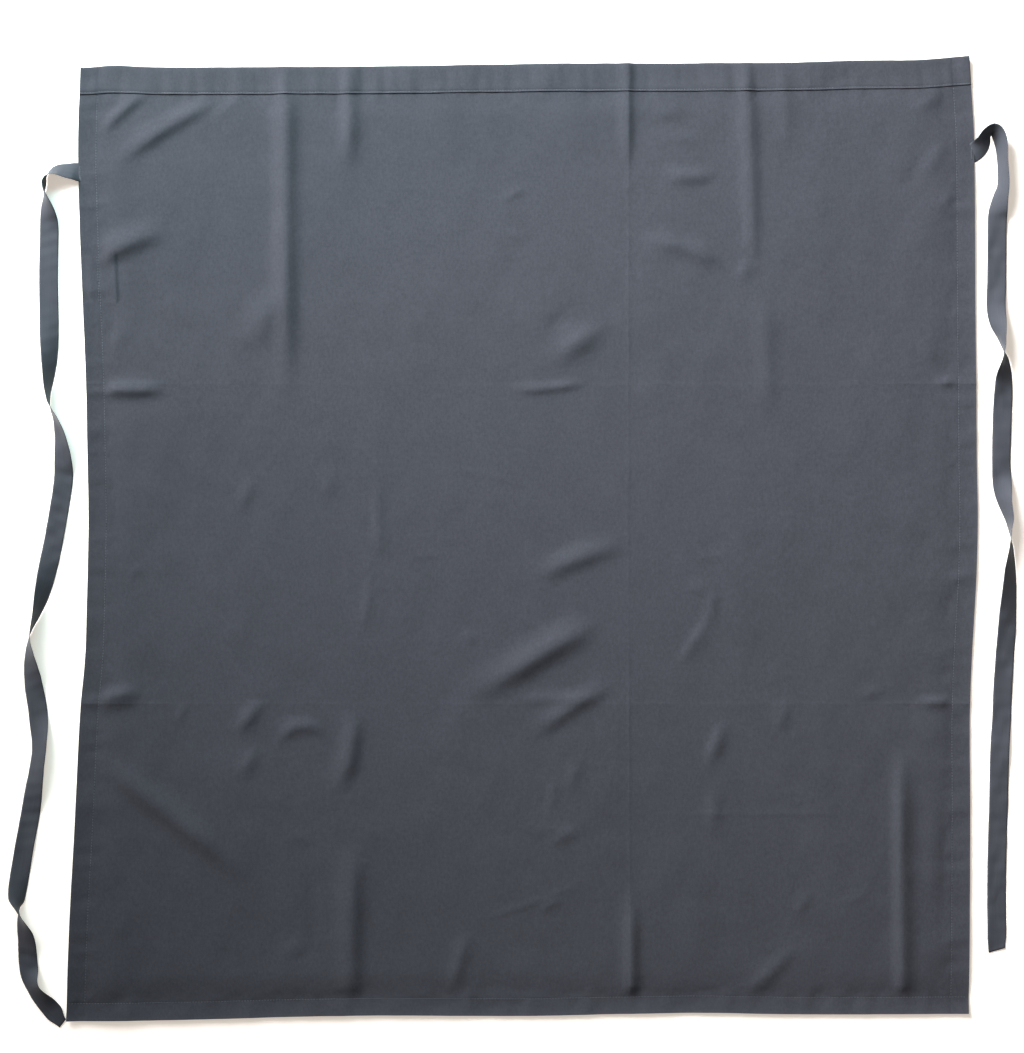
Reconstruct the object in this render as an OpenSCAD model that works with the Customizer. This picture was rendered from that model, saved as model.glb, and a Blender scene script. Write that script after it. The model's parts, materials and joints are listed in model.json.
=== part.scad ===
// Cloth waist apron, laid flat with its front up. The waist is at +Y and the hems rest on z = 0.
// The cloth is in three thirds, which fold at two pressed creases, and each tape tie swings at its turn.

/* [Cloth] */
// Width of the apron across its side edges
apron_w = 940; // [700:5:1200]
// Length of the apron from the waist to the bottom hem
apron_l = 1000; // [760:5:1200]
// Thickness of one layer of the twill
cloth_t = 0.5; // [0.3:0.05:0.8]

/* [Hems] */
// Depth of the waist hem, which is turned down onto the front
waist_hem_w = 28; // [20:1:50]
// Width of the side hems, which are turned to the back
side_hem_w = 20; // [12:1:24]
// Depth of the bottom hem, which is turned to the back
bottom_hem_w = 19; // [10:1:40]
// Distance from a hem's turned edge to its row of stitches
stitch_inset = 1.5; // [1:0.25:4]
// Thickness of the sewing thread
thread_d = 0.4; // [0.2:0.05:0.6]

/* [Folds] */
// Length of the upper third, from the waist edge to its pressed crease
upper_third_l = 336; // [270:2:400]
// Length of the lower third, from the bottom edge to its pressed crease
lower_third_l = 328; // [180:2:330]
// Clearance between two thirds along a pressed crease
crease_gap = 0.6; // [0.4:0.1:2]

/* [Ties] */
// Width of the tie tape
tie_w = 20; // [12:1:24]
// Thickness of the tie tape
tie_t = 0.8; // [0.6:0.1:1]
// Distance from the waist edge to the middle of the left tie
left_tie_drop = 113; // [60:1:150]
// Distance from the waist edge to the middle of the right tie
right_tie_drop = 95; // [60:1:150]
// Length of tape that is tucked in and sewn down under the side hem
tie_tuck = 17; // [10:1:18]
// Distance from the side edge to the place where the tape turns down
tie_stub = 30; // [24:1:50]
// Clearance between a tie and its sewn root
tie_gap = 0.4; // [0.3:0.1:1]
// Length of the bar of tacking stitches along the side edge
tack_l = 16; // [8:1:30]
// Width of the bar of tacking stitches
tack_w = 1.6; // [1:0.2:4]

/* [Label] */
// Width of the care label that shows past the side hem
label_w = 14; // [8:1:30]
// Length of the care label along the side hem
label_l = 48; // [20:1:60]
// Thickness of the care label
label_t = 0.3; // [0.1:0.05:0.4]
// Distance from the waist edge to the top of the care label
label_drop = 201; // [190:1:240]
// Width of the care label's end that is sewn under the hem
label_tuck = 9; // [5:1:10]

/* [Hidden] */
hem_t = 2 * cloth_t;
front_z = hem_t + cloth_t;
band_z = front_z + hem_t;
half_w = apron_w / 2;
waist_y = apron_l / 2;
bottom_y = -apron_l / 2;
upper_crease_y = waist_y - upper_third_l;
lower_crease_y = bottom_y + lower_third_l;
side_stitch_x = half_w - side_hem_w + stitch_inset;

left_tie_y = waist_y - left_tie_drop;
right_tie_y = waist_y - right_tie_drop;
tie_turn_x = half_w + tie_stub;
tie_steps = 3;       // rings swept for each stretch between two points of a tie's route
tie_bevel = 0.2;     // chamfer along the tape's edges
tie_start_rings = 4; // rings that round off the end of the tape at its turn

// Routes of the ties: steps out from the turn and down from it, then the tape's roll in degrees.
// A roll of 90 stands the tape on its edge, and 180 lays it flat with its other face up.
left_route = [
    [0, 10, 0], [0, 55, 0], [1, 110, 0], [0, 160, 10], [-1, 200, 45], [-1, 240, 90],
    [-9, 262, 115], [-14, 285, 140], [-15, 320, 180], [-11, 350, 180], [-4, 390, 180],
    [5, 435, 215], [12, 463, 250], [20, 492, 285], [17, 535, 345], [12, 568, 360],
    [10, 600, 330], [13, 630, 330], [20, 675, 360], [28, 720, 360], [33, 758, 390],
    [31, 775, 450], [24, 805, 520], [22, 835, 540], [16, 858, 500], [0, 878, 530], [-14, 896, 540]
];
right_route = [
    [0, 10, 0], [-1, 45, 0], [-2, 90, 0], [-3, 130, 0], [-4, 165, 20], [0, 191, 70],
    [2, 203, 90], [4, 218, 125], [4, 240, 165], [3, 270, 180], [2, 305, 180], [2, 335, 180],
    [4, 362, 225], [9, 382, 250], [10, 395, 270], [11, 420, 300], [10, 450, 325],
    [8, 490, 345], [4, 550, 360], [2, 595, 360], [0, 626, 370], [-1, 680, 360],
    [-3, 750, 360], [-3, 810, 360], [-3, 837, 360]
];

// Spans along Y of the three thirds, each short of a crease by half the clearance.
middle_span = [lower_crease_y + crease_gap / 2, upper_crease_y - crease_gap / 2];
upper_span = [upper_crease_y + crease_gap / 2, waist_y];
lower_span = [bottom_y, lower_crease_y - crease_gap / 2];
lower_hem_span = [bottom_y + bottom_hem_w, lower_span[1]];

// A flat box between two corners in plan, from height z up to z + t.
module slab(low, high, z, t) {
    translate([low[0], low[1], z]) cube([high[0] - low[0], high[1] - low[1], t]);
}

// One third of the cloth panel.
module panel(span) {
    color([0.28, 0.28, 0.31]) slab([-half_w, span[0]], [half_w, span[1]], hem_t, cloth_t);
}

// A stretch of side hem, two layers behind the panel. side is -1 on the left and 1 on the right.
module side_hem(side, span) {
    color([0.24, 0.24, 0.27])
        slab([min(side * half_w, side * (half_w - side_hem_w)), span[0]],
             [max(side * half_w, side * (half_w - side_hem_w)), span[1]], 0, hem_t);
}

// The thread of a side hem's row of stitches, which lies on the panel's front.
module side_stitches(side, span) {
    color([0.2, 0.2, 0.22])
        slab([side * side_stitch_x - thread_d / 2, span[0]],
             [side * side_stitch_x + thread_d / 2, span[1]], front_z, thread_d);
}

module middle_panel() { panel(middle_span); }

module left_hem_middle() { side_hem(-1, middle_span); }

module right_hem_middle() { side_hem(1, middle_span); }

module left_hem_middle_stitches() { side_stitches(-1, middle_span); }

module right_hem_middle_stitches() { side_stitches(1, middle_span); }

module upper_panel() { panel(upper_span); }

// The waist hem is the top of the cloth, turned down twice onto the front.
module waist_hem() {
    color([0.36, 0.38, 0.42])
        slab([-half_w, waist_y - waist_hem_w], [half_w, waist_y], front_z, hem_t);
}

module waist_hem_stitches() {
    color([0.2, 0.2, 0.22])
        slab([-half_w, waist_y - waist_hem_w + stitch_inset - thread_d / 2],
             [half_w, waist_y - waist_hem_w + stitch_inset + thread_d / 2], band_z, thread_d);
}

// The pocket in a side hem that holds the tucked end of a tie.
module tie_pocket(side, tie_y) {
    slab([side < 0 ? -half_w - 1 : half_w - tie_tuck, tie_y - tie_w / 2],
         [side < 0 ? -half_w + tie_tuck : half_w + 1, tie_y + tie_w / 2], -1, hem_t + 2);
}

// The slot in the left side hem that holds the sewn end of the care label.
module label_slot() {
    slab([-half_w + side_hem_w - label_tuck, waist_y - label_drop - label_l],
         [-half_w + side_hem_w + 1, waist_y - label_drop], hem_t - label_t, label_t + 1);
}

module left_hem_upper() {
    color([0.24, 0.24, 0.27]) difference() {
        side_hem(-1, upper_span);
        tie_pocket(-1, left_tie_y);
        label_slot();
    }
}

module right_hem_upper() {
    color([0.24, 0.24, 0.27]) difference() {
        side_hem(1, upper_span);
        tie_pocket(1, right_tie_y);
    }
}

// The side stitches stop under the waist hem, which is sewn over them.
module left_hem_upper_stitches() {
    side_stitches(-1, [upper_span[0], waist_y - waist_hem_w]);
}

module right_hem_upper_stitches() {
    side_stitches(1, [upper_span[0], waist_y - waist_hem_w]);
}

// The care label hangs from the hem's seam and lies against the back of the panel.
module care_label() {
    color([0.85, 0.85, 0.83])
        slab([-half_w + side_hem_w - label_tuck, waist_y - label_drop - label_l],
             [-half_w + side_hem_w + label_w, waist_y - label_drop], hem_t - label_t, label_t);
}

// The thread that crosses the label's sewn end, seen as a second row beside the hem's own row.
module care_label_stitches() {
    color([0.2, 0.2, 0.22])
        slab([-side_stitch_x - stitch_inset - thread_d / 2, waist_y - label_drop - label_l],
             [-side_stitch_x - stitch_inset + thread_d / 2, waist_y - label_drop],
             front_z, thread_d);
}

// The sewn end of a tie: doubled inside the hem's pocket, then one layer out to the turn.
module tie_root(side, tie_y) {
    out_x = tie_turn_x - tie_w / 2 - tie_gap;
    color([0.3, 0.31, 0.34]) union() {
        slab([side < 0 ? -half_w : half_w - tie_tuck, tie_y - tie_w / 2],
             [side < 0 ? -half_w + tie_tuck : half_w, tie_y + tie_w / 2], 0, hem_t);
        slab([side < 0 ? -out_x : half_w, tie_y - tie_w / 2],
             [side < 0 ? -half_w : out_x, tie_y + tie_w / 2], 0, tie_t);
    }
}

module left_tie_root() { tie_root(-1, left_tie_y); }

module right_tie_root() { tie_root(1, right_tie_y); }

// The bar of tacking stitches over a tie's root, close to the side edge.
module tie_tack(side, tie_y) {
    color([0.2, 0.2, 0.22])
        slab([side * (half_w - stitch_inset - tack_w / 2) - tack_w / 2, tie_y - tack_l / 2],
             [side * (half_w - stitch_inset - tack_w / 2) + tack_w / 2, tie_y + tack_l / 2],
             front_z, thread_d);
}

module left_tie_tack() { tie_tack(-1, left_tie_y); }

module right_tie_tack() { tie_tack(1, right_tie_y); }

module lower_panel() { panel(lower_span); }

module left_hem_lower() { side_hem(-1, lower_hem_span); }

module right_hem_lower() { side_hem(1, lower_hem_span); }

module left_hem_lower_stitches() { side_stitches(-1, lower_hem_span); }

module right_hem_lower_stitches() { side_stitches(1, lower_hem_span); }

module bottom_hem() {
    color([0.26, 0.26, 0.29])
        slab([-half_w, bottom_y], [half_w, bottom_y + bottom_hem_w], 0, hem_t);
}

module bottom_hem_stitches() {
    color([0.2, 0.2, 0.22])
        slab([-half_w, bottom_y + bottom_hem_w - stitch_inset - thread_d / 2],
             [half_w, bottom_y + bottom_hem_w - stitch_inset + thread_d / 2], front_z, thread_d);
}

// Point on a Catmull-Rom curve between b and c, at t from 0 to 1.
function curve_at(a, b, c, d, t) =
    0.5 * (2 * b + (c - a) * t + (2 * a - 5 * b + 4 * c - d) * t * t
           + (3 * b - a - 3 * c + d) * t * t * t);

// The route with tie_steps points for each of its stretches.
function smooth_route(r) = [
    for (i = [0 : len(r) - 2], k = [0 : tie_steps - 1])
        curve_at(r[max(i - 1, 0)], r[i], r[i + 1], r[min(i + 2, len(r) - 1)], k / tie_steps),
    r[len(r) - 1]
];

// The tape's cross-section, w wide and tie_t thick, with its edges chamfered: [across, up].
function tape_section(w) = let (a = w / 2, b = tie_t / 2, c = min(tie_bevel, w / 8)) [
    [a, -b + c], [a, b - c], [a - c, b], [-a + c, b],
    [-a, b - c], [-a, -b + c], [-a + c, -b], [a - c, -b]
];

// One ring of the swept tape at p = [x, y, roll], which travels towards heading.
function tape_ring(p, heading, w) =
    let (z = tie_t / 2 * (1 + 0.02 * abs(sin(p[2]))) + w / 2 * abs(sin(p[2])),
         across = [cos(heading + 90), sin(heading + 90)])
    [for (s = tape_section(w))
        let (u = s[0] * cos(p[2]) - s[1] * sin(p[2]), v = s[0] * sin(p[2]) + s[1] * cos(p[2]))
        [p[0] + across[0] * u, p[1] + across[1] * u, z + v]];

// Heading in degrees of the route at its point i.
function heading_at(r, i) =
    let (a = r[max(i - 1, 0)], b = r[min(i + 1, len(r) - 1)]) atan2(b[1] - a[1], b[0] - a[0]);

// Rings that open from a narrow tip to the tape's full width, as the edge of a half disc does.
function start_rings(turn) = [
    for (k = [0 : tie_start_rings - 1])
        let (back = tie_w / 2 * (0.96 - k / tie_start_rings), half = sqrt(pow(tie_w / 2, 2) - back * back))
        tape_ring([turn[0], turn[1] + back, 0], -90, 2 * half)
];

// The two triangles of the side between corners a, b of one ring and c, d of the next. The tape's
// two faces are split along the same diagonal, so that a twisted stretch keeps its thickness.
function side_triangles(a, b, c, d, flip) =
    flip ? [[a, c, b], [b, c, d]] : [[a, c, d], [a, d, b]];

// A closed tube through equal rings, with its ends capped.
module swept(rings) {
    n = len(rings[0]);
    last = len(rings) - 1;
    polyhedron(
        points = [for (ring = rings, p = ring) p],
        faces = concat(
            [[for (j = [0 : n - 1]) j]],
            [for (i = [0 : last - 1], j = [0 : n - 1])
                each side_triangles(i * n + j, i * n + (j + 1) % n, (i + 1) * n + j,
                                    (i + 1) * n + (j + 1) % n, j >= n / 2)],
            [[for (j = [n - 1 : -1 : 0]) last * n + j]]),
        convexity = 4);
}

// A free tie: a tape from its rounded end at the turn along its route.
module tie(side, tie_y, route) {
    turn = [side * tie_turn_x, tie_y];
    placed = [[turn[0], turn[1], 0],
              for (p = route) [turn[0] + side * p[0], turn[1] - p[1], side * p[2]]];
    points = smooth_route(placed);
    color([0.3, 0.31, 0.34])
        swept(concat(start_rings(turn),
                     [for (i = [0 : len(points) - 1])
                         tape_ring(points[i], heading_at(points, i), tie_w)]));
}

module left_tie() { tie(-1, left_tie_y, left_route); }

module right_tie() { tie(1, right_tie_y, right_route); }

middle_panel();
left_hem_middle();
right_hem_middle();
left_hem_middle_stitches();
right_hem_middle_stitches();
upper_panel();
waist_hem();
waist_hem_stitches();
left_hem_upper();
right_hem_upper();
left_hem_upper_stitches();
right_hem_upper_stitches();
care_label();
care_label_stitches();
left_tie_root();
right_tie_root();
left_tie_tack();
right_tie_tack();
lower_panel();
left_hem_lower();
right_hem_lower();
bottom_hem();
left_hem_lower_stitches();
right_hem_lower_stitches();
bottom_hem_stitches();
left_tie();
right_tie();
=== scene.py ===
"""A long cloth waist apron, laid flat with its front up and its two tape ties beside it.

Everything is in metres in the part's own frame: +Y runs to the waist edge, +Z comes out of the
front, and the hems lie on z = 0. Places on the cloth are given in its pattern's millimetres: u
across and v up the uncreased panel. Cloth.surface() carries them to where the cloth lies.
"""

import json
import logging
import math
from dataclasses import dataclass, field
from enum import Enum

import bpy
import numpy as np
from mathutils import Matrix, Vector


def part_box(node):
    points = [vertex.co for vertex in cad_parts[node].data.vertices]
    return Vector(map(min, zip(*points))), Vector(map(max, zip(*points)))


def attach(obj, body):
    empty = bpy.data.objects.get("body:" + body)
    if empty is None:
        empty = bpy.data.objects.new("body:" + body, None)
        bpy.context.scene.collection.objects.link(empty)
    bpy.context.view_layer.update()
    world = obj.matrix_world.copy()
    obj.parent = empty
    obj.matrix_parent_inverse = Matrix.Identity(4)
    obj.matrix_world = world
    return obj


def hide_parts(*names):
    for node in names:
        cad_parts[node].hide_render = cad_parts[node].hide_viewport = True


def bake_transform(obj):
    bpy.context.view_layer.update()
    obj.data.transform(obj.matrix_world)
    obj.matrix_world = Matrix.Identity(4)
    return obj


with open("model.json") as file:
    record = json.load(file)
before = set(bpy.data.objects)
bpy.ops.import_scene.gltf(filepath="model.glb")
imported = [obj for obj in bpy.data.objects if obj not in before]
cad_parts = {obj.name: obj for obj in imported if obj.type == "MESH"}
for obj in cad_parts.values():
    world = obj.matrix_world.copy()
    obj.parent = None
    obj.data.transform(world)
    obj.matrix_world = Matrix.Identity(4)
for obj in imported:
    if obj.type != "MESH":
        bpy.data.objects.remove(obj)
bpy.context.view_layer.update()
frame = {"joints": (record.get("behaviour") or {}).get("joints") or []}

LOG = logging.getLogger("apron")
MM = 0.001
# period in metres of a wave texture's bands at scale 1
WAVE_PERIOD = 0.314
# width of the tie tapes, in millimetres
TAPE_WIDTH = 20.0

Knots = tuple[tuple[float, float], ...]
Colour = tuple[float, float, float]


class Side(Enum):
    """A side of the apron, as the sign of its X."""

    LEFT = -1
    RIGHT = 1


class Profile(Enum):
    """The shape of a fold's cross-section."""

    SOFT = "soft"
    PRESSED = "pressed"


class Run(Enum):
    """The direction that a hem or a row of stitches runs in."""

    ACROSS = "across"
    UP = "up"


# ---------------------------------------------------------------- curves and grids


def smoothstep(t: np.ndarray) -> np.ndarray:
    """Rise from 0 to 1 as t does: 3t^2 - 2t^3, clamped."""
    t = np.clip(t, 0.0, 1.0)
    return t * t * (3.0 - 2.0 * t)


def hermite(knots: Knots, at: np.ndarray) -> np.ndarray:
    """Smooth curve through knots: a cubic per span, with its slopes from the knots beside it.

    Args:
        knots: (place, value) pairs in rising order of place.
        at: Places to evaluate at, clamped to the knots' range.

    Returns:
        The curve's values, shaped as at.
    """
    x, y = np.array(knots, float).T
    slope = np.gradient(y, x)
    i = np.clip(np.searchsorted(x, at) - 1, 0, len(x) - 2)
    span = x[i + 1] - x[i]
    t = np.clip((at - x[i]) / span, 0.0, 1.0)
    t2, t3 = t * t, t * t * t
    return (
        (2 * t3 - 3 * t2 + 1) * y[i]
        + (t3 - 2 * t2 + t) * span * slope[i]
        + (3 * t2 - 2 * t3) * y[i + 1]
        + (t3 - t2) * span * slope[i + 1]
    )


def graded_line(low: float, high: float, fine: float, coarse: float, zones: Knots) -> np.ndarray:
    """Places from low to high, close together inside the zones and wider outside them.

    The spacing is integrated: places are equal steps of the sum of 1 / spacing.

    Args:
        low: First place.
        high: Last place.
        fine: Spacing inside a zone.
        coarse: Spacing far from every zone.
        zones: (centre, half width) of each fine zone.

    Returns:
        The rising places, with both ends included.
    """
    s = np.linspace(low, high, 6001)
    spacing = np.full_like(s, coarse)
    for centre, half in zones:
        near = 1.0 - smoothstep((np.abs(s - centre) - half) / (3.0 * coarse))
        spacing = np.minimum(spacing, coarse + (fine - coarse) * near)
    count = np.concatenate([[0.0], np.cumsum((s[1] - s[0]) / spacing[:-1])])
    return np.interp(np.linspace(0.0, count[-1], int(round(count[-1])) + 1), count, s)


def grid_quads(rows: int, columns: int, first: int = 0, wrap: bool = False) -> np.ndarray:
    """Faces of a grid of points that is numbered row by row.

    Args:
        rows: Number of rows of points.
        columns: Number of points in a row.
        first: Index of the grid's first point.
        wrap: Whether the last column joins the first.

    Returns:
        An (n, 4) array of point indices.
    """
    across = columns if wrap else columns - 1
    i, j = np.meshgrid(np.arange(rows - 1), np.arange(across), indexing="ij")
    k = (j + 1) % columns
    quads = np.stack([i * columns + j, i * columns + k, (i + 1) * columns + k, (i + 1) * columns + j], -1)
    return quads.reshape(-1, 4) + first


def tube_faces(rings: int, sides: int, flip: bool = False) -> tuple[np.ndarray, tuple[np.ndarray, ...]]:
    """Faces of a closed tube of points that is numbered ring by ring.

    Args:
        rings: Number of rings.
        sides: Number of points in a ring.
        flip: Whether to turn every face over.

    Returns:
        The quads of its side, and a cap for each end.
    """
    quads = grid_quads(rings, sides, wrap=True)
    caps = (np.arange(sides)[::-1], np.arange(sides) + (rings - 1) * sides)
    if flip:
        quads, caps = quads[:, ::-1], (caps[0][::-1], caps[1][::-1])
    return quads, caps


def waves(x: np.ndarray, y: np.ndarray, seed: int, count: int, lengths: tuple[float, float]) -> np.ndarray:
    """Seeded sum of plane sine waves in all directions, scaled to a spread of about 1.

    Args:
        x: First coordinate, in millimetres.
        y: Second coordinate, in millimetres.
        seed: Seed of the random directions, phases and lengths.
        count: Number of waves.
        lengths: Shortest and longest wavelength, in millimetres.

    Returns:
        The sum at each point.
    """
    draw = np.random.default_rng(seed)
    angle = draw.uniform(0.0, math.pi, count)
    phase = draw.uniform(0.0, 2.0 * math.pi, count)
    length = np.exp(draw.uniform(math.log(lengths[0]), math.log(lengths[1]), count))
    total = np.zeros(np.broadcast(x, y).shape)
    for a, p, size in zip(angle, phase, length):
        total = total + np.sin(2.0 * math.pi * (x * math.cos(a) + y * math.sin(a)) / size + p)
    return total * math.sqrt(2.0 / count)


def new_mesh(
    name: str,
    points: np.ndarray,
    quads: np.ndarray,
    normals: np.ndarray | None = None,
    uv: np.ndarray | None = None,
    caps: tuple[np.ndarray, ...] = (),
    wear: np.ndarray | None = None,
) -> bpy.types.Object:
    """Smooth-shaded object from arrays.

    Args:
        name: Name of the object and its mesh.
        points: (n, 3) points in metres.
        quads: (m, 4) faces.
        normals: Shading normal of each point, or None to let Blender work them out.
        uv: (n, 2) map coordinates of each point, in metres.
        caps: Extra faces with any number of corners, each an array of point indices.
        wear: 0 to 1 for each point, how much lighter tint lies there, for rubbed dye and painted highlight.

    Returns:
        The object, linked to the scene.
    """
    mesh = bpy.data.meshes.new(name)
    loops = np.concatenate([quads.ravel(), *caps]).astype(np.int32)
    sizes = np.concatenate([np.full(len(quads), 4), [len(c) for c in caps]]).astype(np.int32)
    starts = np.concatenate([[0], np.cumsum(sizes)[:-1]]).astype(np.int32)
    mesh.vertices.add(len(points))
    mesh.vertices.foreach_set("co", points.astype(np.float32).ravel())
    mesh.loops.add(len(loops))
    mesh.loops.foreach_set("vertex_index", loops)
    mesh.polygons.add(len(sizes))
    mesh.polygons.foreach_set("loop_start", starts)
    mesh.polygons.foreach_set("use_smooth", np.ones(len(sizes), bool))
    mesh.update(calc_edges=True)
    if uv is not None:
        layer = mesh.uv_layers.new(name="cloth_map")
        layer.data.foreach_set("uv", uv[loops].astype(np.float32).ravel())
    # share of the lighter tint for rubbed dye and painted highlight, kept as a point attribute
    layer = mesh.attributes.new("wear", "FLOAT", "POINT")
    layer.data.foreach_set("value", (np.zeros(len(points)) if wear is None else wear).astype(np.float32))
    mesh.validate()
    if normals is not None:
        mesh.normals_split_custom_set_from_vertices(normals.astype(np.float32))
    piece = bpy.data.objects.new(name, mesh)
    bpy.context.scene.collection.objects.link(piece)
    return piece


# ---------------------------------------------------------------- the cloth's shape


@dataclass(frozen=True)
class Fold:
    """A ridge in the cloth from start to end, in the apron's millimetres.

    Its height is rise x profile(side distance / width) x a fade at both ends. lean widens the
    slope on the left of its direction and narrows the other; bow bends it sideways.
    """

    start: tuple[float, float]
    end: tuple[float, float]
    rise: float
    width: float
    bow: float = 0.0
    lean: float = 0.0
    fade: float = 0.45
    profile: Profile = Profile.SOFT

    def height(self, x: np.ndarray, y: np.ndarray) -> np.ndarray:
        """Work out the ridge's height.

        Args:
            x: Places across the apron, in millimetres.
            y: Places up the apron, in millimetres.

        Returns:
            The height at each place, in millimetres.
        """
        start, end = np.array(self.start), np.array(self.end)
        length = float(np.hypot(*(end - start)))
        along = (end - start) / length
        t = ((x - start[0]) * along[0] + (y - start[1]) * along[1]) / length
        side = (y - start[1]) * along[0] - (x - start[0]) * along[1]
        side = side - 4.0 * self.bow * t * (1.0 - t) * (t > 0) * (t < 1)
        width = self.width * np.where(side > 0, 1.0 + self.lean, 1.0 - self.lean)
        if self.profile is Profile.PRESSED:
            shape = np.exp(0.4 - np.sqrt((side / width) ** 2 + 0.16))
        else:
            shape = np.exp(-((side / width) ** 2))
        ends = smoothstep(t / self.fade) * smoothstep((1.0 - t) / self.fade) if self.fade else 1.0
        return self.rise * shape * ends


PRESSED_LINES = (
    Fold((112, -540), (110, 540), 0.3, 1.6, bow=1.5, fade=0.0, profile=Profile.PRESSED),
    Fold((109, 380), (107, 540), 2.5, 7, lean=0.1, fade=0.3),
    Fold((113, -540), (113, -350), 3.8, 8, lean=0.1, fade=0.4),
    Fold((-480, 157), (-372, 158), 4.0, 8, lean=0.1, fade=0.3),
    Fold((428, 166), (490, 167), 2.2, 5.5, fade=0.3),
    Fold((-480, -174), (-398, -158), 4.0, 10, lean=-0.2, fade=0.35),
    Fold((404, -170), (490, -170), 2.3, 6.5, lean=-0.2, fade=0.35),
)

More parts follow.
